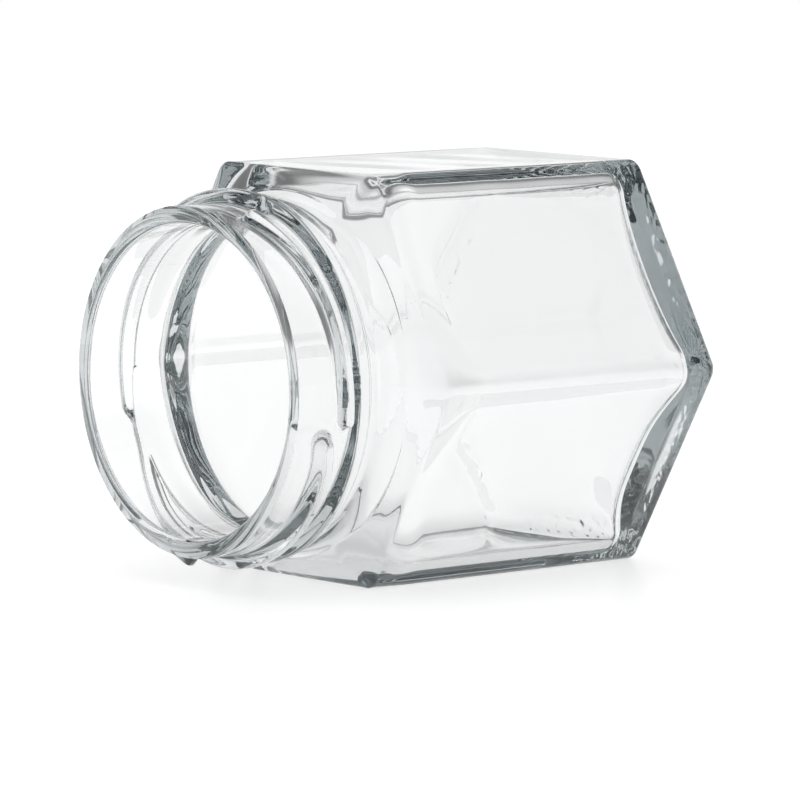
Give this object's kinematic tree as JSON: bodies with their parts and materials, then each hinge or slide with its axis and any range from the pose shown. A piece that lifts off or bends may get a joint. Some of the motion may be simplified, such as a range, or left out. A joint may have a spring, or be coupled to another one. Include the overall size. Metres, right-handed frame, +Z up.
{
  "type": "hexagonal glass jar",
  "caption": "Clear glass storage jar with a six-sided body and a round lug-thread mouth, empty and lying on one flat side.",
  "frame": {"origin": "under the middle of the jar's length, on the plane that the resting panel lies on", "axes": "+X along the jar's long axis from the mouth to the base, +Z up through the panel opposite the resting one, +Y across two ridges"},
  "size_m": [0.0762, 0.072, 0.063],
  "materials": {
    "glass": "clear, fire-polished"
  },
  "bodies": {
    "root": {"jar": "glass"}
  },
  "joints": []
}
